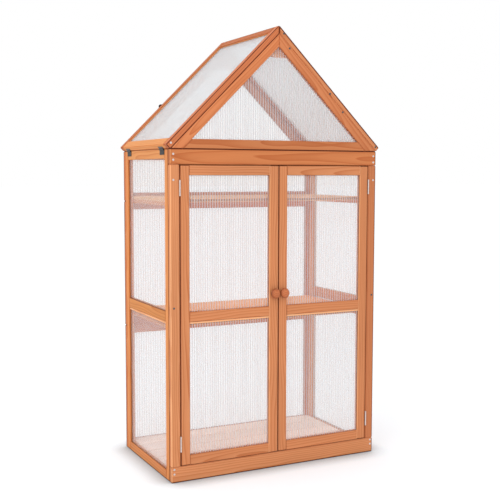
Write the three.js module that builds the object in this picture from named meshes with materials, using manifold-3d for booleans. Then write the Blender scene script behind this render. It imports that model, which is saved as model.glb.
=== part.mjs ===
// Wooden mini greenhouse: a cabinet of framed twin-wall sheets with two doors and shelves,
// under a gable roof whose left slope is a hinged lid.
// Millimetres. The origin is on the ground under the cabinet's centre; +X right, +Y back, +Z up.

import * as THREE from 'three';
import { mergeVertices } from 'three/addons/utils/BufferGeometryUtils.js';
import Module from 'manifold-3d';

const wasm = await Module();
wasm.setup();

// Overall size
const cabinet_width = 760;
const cabinet_depth = 440;
const wall_height = 1055;
const gable_rise = 375;

// Timber and joints
const board = 18;
const joint_gap = 0.3;
const overrun = 2;

// Twin-wall sheets and the grooves that hold them
const sheet_thickness = 4;
const sheet_recess = 6;
const sheet_play = 0.3;
const sheet_edge_gap = 0.5;
const groove_depth = 8;
const tenon_play = 0.3;

// Front frame
const header_height = 48;
const front_base_height = 50;
const post_width = 30;

// Doors
const door_side_gap = 2;
const door_meeting_gap = 2;
const door_head_gap = 2;
const door_member_width = 32;

// Batten glued behind the header: it closes the gap over the doors and stops them
const door_stop = { thickness: 12, below_header: 10, behind_header: 12 };

// Side walls
const side_stile_width = 30;
const side_bottom_rail = 30;
const side_middle_rail = 34;
const side_middle_rail_above_ground = 511;
const side_top_rail = 30;

// Back wall of three framed panels, one above the other
const back_member_width = 29;
const back_first_joint = 443;
const back_upper_panel_height = 173;

// Gables
const rake_width = 30;
const gable_rail_height = 31;

// Plate glued behind the mitre of two rakes
const gusset = { thickness: 12, below_corner: 32, edge_inset: 3 };

// Roof slopes
const roof_stile_width = 28;
const eave_rail_width = 31;
const ridge_rail_width = 30;
const ridge_gap = 1;
const roof_rest_gap = 0.3;

// Shelves and floor
const shelf_thickness = 12;
const middle_shelf_below_rail = 4;
const upper_shelf_above_back_joint = 18;
const shelf_front_setback = 12;
const shelf_cleat = { width: 12, height: 12 };
const cleat_end_distance = 24;
const floor_top = 31;
const floor_slat_thickness = 12;
const floor_slat_count = 5;
const floor_slat_gap = 6;
const floor_bearer_width = 30;

// Door hinges: a barrel in front of the gap, with both leaves in the gap
const door_hinge = {
  length: 50,
  end_distance: 71,
  barrel_radius: 2.4,
  pin_radius: 1.1,
  leaf_thickness: 0.7,
  leaf_spacing: 0.3,
  leaf_length: 19,
  knuckles: 5,
};

// Roof hinges: one leaf on the wall's outer face, one on the lid's lower end
const roof_hinge = {
  length: 37,
  end_distance: 66,
  barrel_radius: 2.2,
  pin_radius: 1,
  leaf_thickness: 1.2,
  leaf_spacing: 2,
  wall_leaf_length: 17,
  lid_leaf_length: 9.5,
  knuckles: 5,
};
const knuckle_gap = 0.4;
const pin_play = 0.25;
const hinge_segments = 16;

// Turned knob
const knob = {
  above_ground: 587,
  base_radius: 8.5,
  base_height: 2,
  neck_radius: 6,
  neck_height: 9,
  head_radius: 16.5,
  rim_height: 14,
  height: 25,
};
const knob_segments = 28;
const knob_dome_steps = 7;

// Stud on the lid's rear edge, and the hook that catches it
const stud = {
  up_slope: 216,
  below_top: 5,
  shank_radius: 1.7,
  head_radius: 8,
  stand: 8,
  head_height: 4,
  depth_in_wood: 14,
  play: 0.3,
};
const hook = {
  arm_width: 4.5,
  eye_radius: 5,
  hole_play: 0.4,
  thickness: 2,
  stand_off: 3,
  throat_play: 0.6,
  finger_width: 4,
  finger_reach: 3.5,
};
const pivot_screw = { shank_radius: 1.6, head_radius: 4.2, head_height: 2, depth_in_wood: 14, play: 0.3 };
const small_part_segments = 14;

// Worked-out sizes
const half_width = cabinet_width / 2;
const half_depth = cabinet_depth / 2;
const pitch = Math.atan2(gable_rise, half_width);
const slope_length = Math.hypot(gable_rise, half_width);
const groove_front = -(sheet_recess - sheet_play);
const groove_back = -(sheet_recess + sheet_thickness + sheet_play);
const sheet_bite = groove_depth - sheet_edge_gap;
const inner_half_width = half_width - board - joint_gap;
const inner_half_depth = half_depth - board - joint_gap;
const door_width = (cabinet_width - 2 * post_width - 2 * door_side_gap - door_meeting_gap) / 2;
const door_bottom = front_base_height + door_head_gap;
const door_height = wall_height - header_height - door_head_gap - door_bottom;
const middle_shelf_top = side_middle_rail_above_ground - middle_shelf_below_rail;
const back_second_joint = wall_height - back_upper_panel_height;
const upper_shelf_top = back_second_joint + upper_shelf_above_back_joint;
const front_post_height = wall_height - header_height - front_base_height - 2 * joint_gap;

// Directions
const world_right = new THREE.Vector3(1, 0, 0);
const world_left = new THREE.Vector3(-1, 0, 0);
const world_back = new THREE.Vector3(0, 1, 0);
const world_front = new THREE.Vector3(0, -1, 0);
const world_up = new THREE.Vector3(0, 0, 1);
const world_down = new THREE.Vector3(0, 0, -1);

// Materials
const wood = new THREE.MeshStandardMaterial({ color: '#d0825a', roughness: 0.62, metalness: 0 });
const shelf_wood = new THREE.MeshStandardMaterial({ color: '#d79a72', roughness: 0.7, metalness: 0 });
const knob_wood = new THREE.MeshStandardMaterial({ color: '#be6e4b', roughness: 0.5, metalness: 0 });
const sheet_plastic = new THREE.MeshStandardMaterial({ color: '#eceef0', roughness: 0.3, metalness: 0 });
const steel = new THREE.MeshStandardMaterial({ color: '#c9ccd0', roughness: 0.35, metalness: 0.9 });
const black_steel = new THREE.MeshStandardMaterial({ color: '#1e1d1c', roughness: 0.5, metalness: 0.6 });

// Solids: closed meshes that can be joined and cut
function solidOf(geometry) {
  const bare = geometry.clone();
  bare.deleteAttribute('normal');
  bare.deleteAttribute('uv');
  const welded = mergeVertices(bare);
  return new wasm.Manifold(
    new wasm.Mesh({
      numProp: 3,
      vertProperties: Float32Array.from(welded.attributes.position.array),
      triVerts: Uint32Array.from(welded.index.array),
    }),
  );
}

function geometryOf(solid) {
  const mesh = solid.getMesh();
  const geometry = new THREE.BufferGeometry();
  geometry.setAttribute('position', new THREE.BufferAttribute(Float32Array.from(mesh.vertProperties), 3));
  geometry.setIndex(new THREE.BufferAttribute(Uint32Array.from(mesh.triVerts), 1));
  const flat = geometry.toNonIndexed();
  flat.computeVertexNormals();
  return flat;
}

function block(low, high) {
  const size = high.map((value, axis) => value - low[axis]);
  const middle = high.map((value, axis) => (value + low[axis]) / 2);
  return solidOf(new THREE.BoxGeometry(...size).translate(...middle));
}

// A flat outline pushed from one height to another along Z
function plateGeometry(outline, low, high) {
  const settings = { depth: high - low, bevelEnabled: false, curveSegments: small_part_segments };
  return new THREE.ExtrudeGeometry(outline, settings).translate(0, 0, low);
}

function outlineOf(points) {
  return new THREE.Shape(points.map(([x, y]) => new THREE.Vector2(x, y)));
}

function plate(points, low, high) {
  return solidOf(plateGeometry(outlineOf(points), low, high));
}

// A round bar along Z
function barGeometry(radius, low, high, segments) {
  const cylinder = new THREE.CylinderGeometry(radius, radius, high - low, segments);
  return cylinder.rotateX(Math.PI / 2).translate(0, 0, (low + high) / 2);
}

function bar(x, y, radius, low, high, segments) {
  return solidOf(barGeometry(radius, low, high, segments).translate(x, y, 0));
}

// A turned shape round Z, from profile points of radius and height, lowest first
function turned(profile, segments) {
  const points = profile.map(([radius, height]) => new THREE.Vector2(radius, height));
  return solidOf(new THREE.LatheGeometry(points, segments).rotateX(Math.PI / 2));
}

// A shank that goes down into the wood, with a flat head standing above it
function headedPin(shank_radius, depth, head_radius, head_low, head_height) {
  const profile = [
    [0, -depth],
    [shank_radius, -depth],
    [shank_radius, head_low],
    [head_radius, head_low],
    [head_radius, head_low + head_height],
    [0, head_low + head_height],
  ];
  return turned(profile, small_part_segments);
}

const root = new THREE.Group();

// A group whose X is right along a wall as seen from outside, Y is up it, and Z comes out of it
function placed(corner, right, up) {
  const outward = new THREE.Vector3().crossVectors(right, up);
  const group = new THREE.Group();
  group.applyMatrix4(new THREE.Matrix4().makeBasis(right, up, outward).setPosition(...corner));
  root.add(group);
  return group;
}

function addPiece(group, name, material, solid) {
  const mesh = new THREE.Mesh(geometryOf(solid), material);
  mesh.name = name;
  group.add(mesh);
  return mesh;
}

// Framed panel: stiles and rails with a sheet in each bay. X runs right, Y up, Z = 0 is the outer face.
function stileSolid(left, right, bottom, top, grooved_side) {
  const body = block([left, bottom, -board], [right, top, 0]);
  const groove_left = grooved_side === 'right' ? right - groove_depth : left - overrun;
  const groove_right = grooved_side === 'right' ? right + overrun : left + groove_depth;
  const groove_low = [groove_left, bottom - overrun, groove_back];
  return body.subtract(block(groove_low, [groove_right, top + overrun, groove_front]));
}

function railSolid(left, right, bottom, top, groove_below, groove_above) {
  const tenon_bottom = groove_below ? bottom + groove_depth : bottom;
  const tenon_top = groove_above ? top - groove_depth : top;
  const tenon_low = [left - sheet_bite, tenon_bottom, groove_back + tenon_play];
  const tenon_high = [right + sheet_bite, tenon_top, groove_front - tenon_play];
  let body = block([left, bottom, -board], [right, top, 0]);
  if (groove_below) {
    const groove_low = [left - overrun, bottom - overrun, groove_back];
    body = body.subtract(block(groove_low, [right + overrun, bottom + groove_depth, groove_front]));
  }
  if (groove_above) {
    const groove_low = [left - overrun, top - groove_depth, groove_back];
    body = body.subtract(block(groove_low, [right + overrun, top + overrun, groove_front]));
  }
  return body.add(block(tenon_low, tenon_high));
}

function sheetSolid(left, right, bottom, top) {
  const low = [left - sheet_bite, bottom - sheet_bite, -(sheet_recess + sheet_thickness)];
  return block(low, [right + sheet_bite, top + sheet_bite, -sheet_recess]);
}

// rails lists [bottom, top] from the lowest rail to the highest
function framedPanel(width, bottom, top, stile_width, rails) {
  const inner_left = stile_width;
  const inner_right = width - stile_width;
  const last = rails.length - 1;
  return {
    left_stile: stileSolid(0, inner_left, bottom, top, 'right'),
    right_stile: stileSolid(inner_right, width, bottom, top, 'left'),
    rails: rails.map(([low, high], index) =>
      railSolid(inner_left + joint_gap, inner_right - joint_gap, low, high, index > 0, index < last),
    ),
    sheets: rails.slice(1).map(([low], index) => sheetSolid(inner_left, inner_right, rails[index][1], low)),
  };
}

// The same panel with its members glued into one frame
function gluedPanel(width, bottom, top, stile_width, rails) {
  const inner_right = width - stile_width;
  const bays = rails.slice(1).map(([low], index) => [rails[index][1], low]);
  let frame = block([0, bottom, -board], [width, top, 0]);
  for (const [low, high] of bays) {
    const groove_low = [stile_width - groove_depth, low - groove_depth, groove_back];
    const groove = block(groove_low, [inner_right + groove_depth, high + groove_depth, groove_front]);
    const window = block([stile_width, low, -board - overrun], [inner_right, high, overrun]);
    frame = frame.subtract(groove).subtract(window);
  }
  return { frame, sheets: bays.map(([low, high]) => sheetSolid(stile_width, inner_right, low, high)) };
}

// Front frame: header over the full width, bottom rail, and two posts between them.
// The door stop keeps clear of the doors' backs and is glued to the header above their tops.
const front = placed([-half_width, -half_depth, 0], world_right, world_up);
const header_bottom = wall_height - header_height;

function addFrontFrame() {
  const stop_left = half_width - inner_half_width;
  const stop_right = cabinet_width - stop_left;
  const stop_top = header_bottom + door_stop.behind_header;
  const stop_front = -board - joint_gap;
  const stop_back = stop_front - door_stop.thickness;
  const stop_low = [stop_left, header_bottom - door_stop.below_header, stop_back];
  const header = block([0, header_bottom, -board], [cabinet_width, wall_height, 0])
    .add(block(stop_low, [stop_right, stop_top, stop_front]))
    .add(block([stop_left, header_bottom, stop_back], [stop_right, stop_top, -board]));
  const base = block([0, 0, -board], [cabinet_width, front_base_height, 0]);
  const post_bottom = front_base_height + joint_gap;
  const post_top = post_bottom + front_post_height;
  const left_post = block([0, post_bottom, -board], [post_width, post_top, 0]);
  const right_post = block([cabinet_width - post_width, post_bottom, -board], [cabinet_width, post_top, 0]);
  addPiece(front, 'front_header_rail', wood, header);
  addPiece(front, 'front_bottom_rail', wood, base);
  addPiece(front, 'left_front_post', wood, left_post);
  addPiece(front, 'right_front_post', wood, right_post);
}

// Side walls, standing between the front frame and the back wall
const side_wall_length = 2 * inner_half_depth;
const side_rails = [
  [0, side_bottom_rail],
  [side_middle_rail_above_ground, side_middle_rail_above_ground + side_middle_rail],
  [wall_height - side_top_rail, wall_height],
];

function addSideWall(side, corner, right) {
  const wall = placed(corner, right, world_up);
  const panel = gluedPanel(side_wall_length, 0, wall_height, side_stile_width, side_rails);
  const cleat_tops = [middle_shelf_top, upper_shelf_top].map((top) => top - shelf_thickness - joint_gap);
  const frame = cleat_tops.reduce((whole, top) => {
    const low = [cleat_end_distance, top - shelf_cleat.height, -board - shelf_cleat.width];
    return whole.add(block(low, [side_wall_length - cleat_end_distance, top, -board]));
  }, panel.frame);
  addPiece(wall, `${side}_side_frame`, wood, frame);
  addPiece(wall, `${side}_side_lower_sheet`, sheet_plastic, panel.sheets[0]);
  addPiece(wall, `${side}_side_upper_sheet`, sheet_plastic, panel.sheets[1]);
}

// Back wall: three panels over the full width, behind the side walls
function addBackWall() {
  const wall = placed([half_width, half_depth, 0], world_left, world_up);
  const joints = [0, back_first_joint, back_second_joint, wall_height + joint_gap];
  ['lower', 'middle', 'upper'].forEach((name, index) => {
    const bottom = joints[index];
    const top = joints[index + 1] - joint_gap;
    const rails = [
      [bottom, bottom + back_member_width],
      [top - back_member_width, top],
    ];
    const panel = gluedPanel(cabinet_width, bottom, top, back_member_width, rails);
    addPiece(wall, `back_${name}_frame`, wood, panel.frame);
    addPiece(wall, `back_${name}_sheet`, sheet_plastic, panel.sheets[0]);
  });
}

// Gable: two rakes that meet in a mitre, a bottom rail between them, and a three-cornered sheet.
// inset is measured square to the rake's outer edge.
const gable_middle = half_width;
const rakeLineX = (y, inset) => y / Math.tan(pitch) + inset / Math.sin(pitch);
const rakeLineY = (x, inset) => x * Math.tan(pitch) - inset / Math.cos(pitch);

function gableTriangle(base, inset) {
  const left = rakeLineX(base, inset);
  return [
    [left, base],
    [cabinet_width - left, base],
    [gable_middle, rakeLineY(gable_middle, inset)],
  ];
}

function gableRail() {
  const body_inset = rake_width + joint_gap;
  const tenon_inset = rake_width - sheet_bite;
  const outline = (top, inset) => [
    [rakeLineX(joint_gap, inset), joint_gap],
    [cabinet_width - rakeLineX(joint_gap, inset), joint_gap],
    [cabinet_width - rakeLineX(top, inset), top],
    [rakeLineX(top, inset), top],
  ];
  const groove_low = [0, gable_rail_height - groove_depth, groove_back];
  const groove = block(groove_low, [cabinet_width, gable_rail_height + overrun, groove_front]);
  const body = plate(outline(gable_rail_height, body_inset), -board, 0).subtract(groove);
  const tenon_top = gable_rail_height - groove_depth;
  const tenon = plate(outline(tenon_top, tenon_inset), groove_back + tenon_play, groove_front - tenon_play);
  return body.add(tenon);
}

function rakeSolid(mirrored) {
  const mitre = gable_middle - joint_gap / 2;
  const half = [
    [rakeLineX(joint_gap, 0), joint_gap],
    [rakeLineX(joint_gap, rake_width), joint_gap],
    [mitre, rakeLineY(mitre, rake_width)],
    [mitre, rakeLineY(mitre, 0)],
  ];
  const outline = mirrored ? half.map(([x, y]) => [cabinet_width - x, y]).reverse() : half;
  const groove = plate(gableTriangle(-overrun, rake_width - groove_depth), groove_back, groove_front);
  return plate(outline, -board, 0).subtract(groove);
}

function gableSheet() {
  const outline = gableTriangle(gable_rail_height - sheet_bite, rake_width - sheet_bite);
  return plate(outline, -sheet_recess - sheet_thickness, -sheet_recess);
}

// The gusset's lower edge is level and shows under the rakes' inner corner
function gussetSolid() {
  const base = rakeLineY(gable_middle, rake_width) - gusset.below_corner;
  return plate(gableTriangle(base, gusset.edge_inset), -board - gusset.thickness, -board);
}

// The front gusset is glued to the right rake and just clears the left one
function frontGusset() {
  const mitre = gable_middle + joint_gap / 2;
  return gussetSolid().subtract(block([0, 0, -board - joint_gap], [mitre, gable_rise, 0]));
}

function addFrontGable() {
  const gable = placed([-half_width, -half_depth, wall_height], world_right, world_up);
  addPiece(gable, 'front_gable_left_rake', wood, rakeSolid(false));
  addPiece(gable, 'front_gable_right_rake', wood, rakeSolid(true).add(frontGusset()));
  addPiece(gable, 'front_gable_bottom_rail', wood, gableRail());
  addPiece(gable, 'front_gable_sheet', sheet_plastic, gableSheet());
}

// The rear gable is glued into one frame with its gusset, and has a hole for the hook's screw
function addRearGable() {
  const gable = placed([half_width, half_depth, wall_height], world_left, world_up);
  const groove_outline = gableTriangle(gable_rail_height - groove_depth, rake_width - groove_depth);
  const window = plate(gableTriangle(gable_rail_height, rake_width), -board - overrun, overrun);
  const hole_depth = pivot_screw.depth_in_wood + pivot_screw.play;
  const hole_radius = pivot_screw.shank_radius + pivot_screw.play;
  const hole_x = half_width - pivot_x;
  const hole = bar(hole_x, pivot_z - wall_height, hole_radius, -hole_depth, overrun, small_part_segments);
  const frame = plate(gableTriangle(joint_gap, 0), -board, 0)
    .subtract(plate(groove_outline, groove_back, groove_front))
    .subtract(window)
    .subtract(hole)
    .add(gussetSolid());
  addPiece(gable, 'rear_gable_frame', wood, frame);
  addPiece(gable, 'rear_gable_sheet', sheet_plastic, gableSheet());
}

// Roof slope: Y runs up the slope from the eave, Z = 0 is the top face
const roof_top_length = slope_length + board * Math.tan(pitch);
const ridge_trim = (ridge_gap / 2 + roof_rest_gap * Math.sin(pitch)) / Math.cos(pitch);

// The piece cut off each slope's upper end, so that the two slopes meet in an upright mitre
function ridgeWedge() {
  const low_end = slope_length - ridge_trim;
  const high_end = roof_top_length - ridge_trim;
  const run = overrun * Math.tan(pitch);
  const side = [
    [low_end - run, -board - overrun],
    [high_end + board, -board - overrun],
    [high_end + board, overrun],
    [high_end + run, overrun],
  ];
  // X and Y of the outline lie along the slope and out of it; its thickness lies across the slope
  const turn = new THREE.Matrix4().makeBasis(world_back, world_up, world_right);
  return solidOf(plateGeometry(outlineOf(side), -overrun, cabinet_depth + overrun).applyMatrix4(turn));
}

function roofPanel() {
  const rails = [
    [0, eave_rail_width],
    [roof_top_length - ridge_rail_width, roof_top_length],
  ];
  const panel = gluedPanel(cabinet_depth, 0, roof_top_length, roof_stile_width, rails);
  return { frame: panel.frame.subtract(ridgeWedge()), sheet: panel.sheets[0] };
}

// The corner of a slope's top face at the eave: side is -1 for the left slope and 1 for the right one
function eaveCorner(side, y) {
  const lift = board + roof_rest_gap;
  return [side * (half_width + lift * Math.sin(pitch)), y, wall_height + lift * Math.cos(pitch)];
}

const left_up_slope = new THREE.Vector3(Math.cos(pitch), 0, Math.sin(pitch));
const right_up_slope = new THREE.Vector3(-Math.cos(pitch), 0, Math.sin(pitch));

function addFixedRoof() {
  const slope = placed(eaveCorner(1, -half_depth), world_back, right_up_slope);
  const panel = roofPanel();
  addPiece(slope, 'fixed_roof_frame', wood, panel.frame);
  addPiece(slope, 'fixed_roof_sheet', sheet_plastic, panel.sheet);
}

// The lid's X runs from the back to the front, so its rear edge is at X = 0
function addRoofLid() {
  const slope = placed(eaveCorner(-1, half_depth), world_front, left_up_slope);
  const panel = roofPanel();
  const { shank_radius, depth_in_wood, head_radius, stand, head_height } = stud;
  const hole_depth = depth_in_wood + stud.play;
  const hole = barGeometry(shank_radius + stud.play, -overrun, hole_depth, small_part_segments)
    .rotateY(Math.PI / 2)
    .translate(0, stud.up_slope, -stud.below_top);
  addPiece(slope, 'roof_lid_frame', wood, panel.frame.subtract(solidOf(hole)));
  addPiece(slope, 'roof_lid_sheet', sheet_plastic, panel.sheet);
  const pin = headedPin(shank_radius, depth_in_wood, head_radius, stand, head_height);
  const catch_stud = addPiece(slope, 'lid_catch_stud', black_steel, pin);
  catch_stud.rotation.y = -Math.PI / 2;
  catch_stud.position.set(0, stud.up_slope, -stud.below_top);
}

// Doors
function addDoor(side, left_edge, hinge_is_left) {
  const door = placed([left_edge, -half_depth, door_bottom], world_right, world_up);
  // The doors' middle rails are level with those of the side walls
  const middle = side_middle_rail_above_ground + (side_middle_rail - door_member_width) / 2 - door_bottom;
  const rails = [
    [0, door_member_width],
    [middle, middle + door_member_width],
    [door_height - door_member_width, door_height],
  ];
  const panel = framedPanel(door_width, 0, door_height, door_member_width, rails);
  const [hinge_stile, meeting_stile] = hinge_is_left
    ? [panel.left_stile, panel.right_stile]
    : [panel.right_stile, panel.left_stile];
  addPiece(door, `${side}_door_hinge_stile`, wood, hinge_stile);
  addPiece(door, `${side}_door_meeting_stile`, wood, meeting_stile);
  ['bottom', 'middle', 'top'].forEach((place, index) => {
    addPiece(door, `${side}_door_${place}_rail`, wood, panel.rails[index]);
  });
  addPiece(door, `${side}_door_lower_sheet`, sheet_plastic, panel.sheets[0]);
  addPiece(door, `${side}_door_upper_sheet`, sheet_plastic, panel.sheets[1]);
  const knob_x = hinge_is_left ? door_width - door_member_width / 2 : door_member_width / 2;
  const door_knob = addPiece(door, `${side}_door_knob`, knob_wood, knobSolid());
  door_knob.position.set(knob_x, knob.above_ground - door_bottom, joint_gap);
}

function knobSolid() {
  const profile = [
    [0, 0],
    [knob.base_radius, 0],
    [knob.base_radius, knob.base_height],
    [knob.neck_radius, knob.neck_height],
    [knob.head_radius, knob.rim_height],
  ];
  const dome_height = knob.height - knob.rim_height;
  for (let step = 1; step < knob_dome_steps; step++) {
    const turn = (step / knob_dome_steps) * (Math.PI / 2);
    profile.push([knob.head_radius * Math.cos(turn), knob.rim_height + dome_height * Math.sin(turn)]);
  }
  profile.push([0, knob.height]);
  return turned(profile, knob_segments);
}

// Hinge leaf: the pin line is Z, the leaf runs along X, and its thickness is from near to far in Y.
// The leaf with the even knuckles carries the pin; the other turns on it.
function hingeLeaf(sizes, leaf_length, near, far, carries_pin) {
  const half = sizes.length / 2;
  const pitch_z = sizes.length / sizes.knuckles;
  const own = carries_pin ? 0 : 1;
  const leaf_y = [Math.min(near, far), Math.max(near, far)];
  let solid = block([sizes.barrel_radius + knuckle_gap, leaf_y[0], -half], [leaf_length, leaf_y[1], half]);
  for (let index = own; index < sizes.knuckles; index += 2) {
    const low = -half + index * pitch_z + (index > 0 ? knuckle_gap / 2 : 0);
    const high = -half + (index + 1) * pitch_z - (index < sizes.knuckles - 1 ? knuckle_gap / 2 : 0);
    solid = solid.add(bar(0, 0, sizes.barrel_radius, low, high, hinge_segments));
    solid = solid.add(block([0, leaf_y[0], low], [leaf_length, leaf_y[1], high]));
  }
  if (carries_pin) return solid.add(bar(0, 0, sizes.pin_radius, -half, half, hinge_segments));
  const bore = sizes.pin_radius + pin_play;
  return solid.subtract(bar(0, 0, bore, -half - overrun, half + overrun, hinge_segments));
}

// Two door hinges on each post: the barrel stands in front of the gap and the leaves lie in it
const door_pin_y = -(half_depth + joint_gap + door_hinge.barrel_radius);
const door_pin_x = half_width - post_width - door_side_gap / 2;
const door_hinge_heights = [
  door_bottom + door_hinge.end_distance,
  door_bottom + door_height - door_hinge.end_distance,
];

function addDoorHinges() {
  const near = door_hinge.leaf_spacing / 2;
  const far = near + door_hinge.leaf_thickness;
  for (const [side, x_side] of [['left', -1], ['right', 1]]) {
    const pin = placed([x_side * door_pin_x, door_pin_y, 0], world_back, world_left);
    const [post_near, post_far] = [-x_side * near, -x_side * far];
    const post_leaf = hingeLeaf(door_hinge, door_hinge.leaf_length, post_near, post_far, true);
    const door_leaf = hingeLeaf(door_hinge, door_hinge.leaf_length, -post_near, -post_far, false);
    ['lower', 'upper'].forEach((place, index) => {
      const height = door_hinge_heights[index];
      addPiece(pin, `${side}_post_${place}_hinge_leaf`, steel, post_leaf).position.z = height;
      addPiece(pin, `${side}_door_${place}_hinge_leaf`, steel, door_leaf).position.z = height;
    });
  }
}

// Roof hinges: the pin line lies outside the corner where the wall meets the lid's lower end
const roof_pin_reach = roof_hinge.barrel_radius + joint_gap;
const roof_pin_x = -(half_width + roof_pin_reach);
const roof_pin_z = wall_height - roof_pin_reach * Math.tan(pitch / 2);

function addRoofHinges() {
  const near = roof_hinge.leaf_spacing / 2;
  const far = near + roof_hinge.leaf_thickness;
  const lid_end = new THREE.Vector3(-Math.sin(pitch), 0, Math.cos(pitch));
  const wall_side = hingeGroup(world_down);
  const lid_side = hingeGroup(lid_end);
  const wall_leaf = hingeLeaf(roof_hinge, roof_hinge.wall_leaf_length, -far, -near, true);
  const lid_leaf = hingeLeaf(roof_hinge, roof_hinge.lid_leaf_length, near, far, false);
  for (const [place, end] of [['front', -1], ['rear', 1]]) {
    const along = end * (half_depth - roof_hinge.end_distance);
    addPiece(wall_side, `wall_${place}_roof_hinge_leaf`, black_steel, wall_leaf).position.z = along;
    addPiece(lid_side, `lid_${place}_roof_hinge_leaf`, black_steel, lid_leaf).position.z = along;
  }
}

// X along the leaf and Z along the pin line, towards the back
function hingeGroup(leaf_direction) {
  const side_direction = new THREE.Vector3().crossVectors(world_back, leaf_direction);
  return placed([roof_pin_x, 0, roof_pin_z], leaf_direction, side_direction);
}

// Lid hook: a flat hook that hangs from a screw in the rear gable and swings up round the stud
const stud_below_rest = board + roof_rest_gap - stud.below_top;
const hook_reach = stud_below_rest + rake_width / 2;
const pivot_up_slope = stud.up_slope;
const pivot_x = -half_width + pivot_up_slope * Math.cos(pitch) + (rake_width / 2) * Math.sin(pitch);
const pivot_z = wall_height + pivot_up_slope * Math.sin(pitch) - (rake_width / 2) * Math.cos(pitch);

// The hook's outline, with the pivot at the origin and the stud's place straight above it
function hookOutline() {
  const throat = stud.shank_radius + hook.throat_play;
  const spine_outside = throat + hook.arm_width;
  const finger_bottom = hook_reach + throat;
  const finger_top = finger_bottom + hook.finger_width;
  const shoulder = hook_reach - 2 * throat;
  const outline = new THREE.Shape();
  outline.moveTo(spine_outside, finger_top);
  outline.lineTo(-hook.finger_reach, finger_top);
  outline.lineTo(-hook.finger_reach, finger_bottom);
  outline.lineTo(0, finger_bottom);
  outline.absarc(0, hook_reach, throat, Math.PI / 2, 0, true);
  outline.lineTo(throat, shoulder);
  outline.lineTo(throat - hook.arm_width, shoulder - throat);
  outline.lineTo(-hook.eye_radius, 0);
  outline.absarc(0, 0, hook.eye_radius, Math.PI, 2 * Math.PI, false);
  outline.lineTo(spine_outside, shoulder);
  outline.closePath();
  return outline;
}

// Where the outline's middle of area lies, so that the hook can be drawn as it hangs
function middleOfArea(points) {
  let area = 0;
  let moment_x = 0;
  let moment_y = 0;
  points.forEach((point, index) => {
    const next = points[(index + 1) % points.length];
    const share = point.x * next.y - next.x * point.y;
    area += share;
    moment_x += (point.x + next.x) * share;
    moment_y += (point.y + next.y) * share;
  });
  return new THREE.Vector2(moment_x / (3 * area), moment_y / (3 * area));
}

function addLidHook() {
  const outline = hookOutline();
  const middle = middleOfArea(outline.getPoints(small_part_segments));
  const hanging_turn = -Math.PI / 2 - Math.atan2(middle.y, middle.x);
  const hole = pivot_screw.shank_radius + hook.hole_play;
  const low = hook.stand_off;
  const high = low + hook.thickness;
  const flat = solidOf(plateGeometry(outline, low, high));
  const solid = flat.subtract(bar(0, 0, hole, low - overrun, high + overrun, small_part_segments));
  // Seen from behind, X runs to the left wall's side
  const pivot = placed([pivot_x, half_depth, pivot_z], world_left, world_up);
  const swinging = new THREE.Group();
  swinging.rotation.z = hanging_turn;
  pivot.add(swinging);
  addPiece(swinging, 'lid_hook', black_steel, solid);
  const head_low = high + knuckle_gap;
  const { shank_radius, depth_in_wood, head_radius, head_height } = pivot_screw;
  const pin = headedPin(shank_radius, depth_in_wood, head_radius, head_low, head_height);
  addPiece(pivot, 'hook_pivot_screw', black_steel, pin);
}

// Shelves, lying on the cleats of the side walls
function addShelves() {
  const shelf_front = -(inner_half_depth - shelf_front_setback);
  for (const [name, top] of [['middle_shelf', middle_shelf_top], ['upper_shelf', upper_shelf_top]]) {
    const low = [-inner_half_width, shelf_front, top - shelf_thickness];
    addPiece(root, name, shelf_wood, block(low, [inner_half_width, inner_half_depth, top]));
  }
}

// Slatted floor, nailed to three bearers that stand on the ground
function addFloor() {
  const slat_bottom = floor_top - floor_slat_thickness;
  const depth = 2 * inner_half_depth;
  const slat_width = (depth - (floor_slat_count - 1) * floor_slat_gap) / floor_slat_count;
  const outer = inner_half_width - floor_bearer_width / 2;
  const bearers = [-outer, 0, outer].map((x) => {
    const low = [x - floor_bearer_width / 2, -inner_half_depth, 0];
    return block(low, [x + floor_bearer_width / 2, inner_half_depth, slat_bottom]);
  });
  let floor = bearers.reduce((whole, bearer) => whole.add(bearer));
  for (let index = 0; index < floor_slat_count; index++) {
    const y = -inner_half_depth + index * (slat_width + floor_slat_gap);
    const low = [-inner_half_width, y, slat_bottom];
    floor = floor.add(block(low, [inner_half_width, y + slat_width, floor_top]));
  }
  addPiece(root, 'slatted_floor', shelf_wood, floor);
}

addFrontFrame();
addSideWall('left', [-half_width, inner_half_depth, 0], world_front);
addSideWall('right', [half_width, -inner_half_depth, 0], world_back);
addBackWall();
addFrontGable();
addRearGable();
addFixedRoof();
addRoofLid();
addDoor('left', -half_width + post_width + door_side_gap, true);
addDoor('right', door_meeting_gap / 2, false);
addDoorHinges();
addRoofHinges();
addLidHook();
addShelves();
addFloor();

export default root;
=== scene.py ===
"""Looks of the wooden mini greenhouse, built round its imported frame. Lengths are metres."""

import math
import random

import bmesh
import bpy
from mathutils import Matrix, Vector


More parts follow.
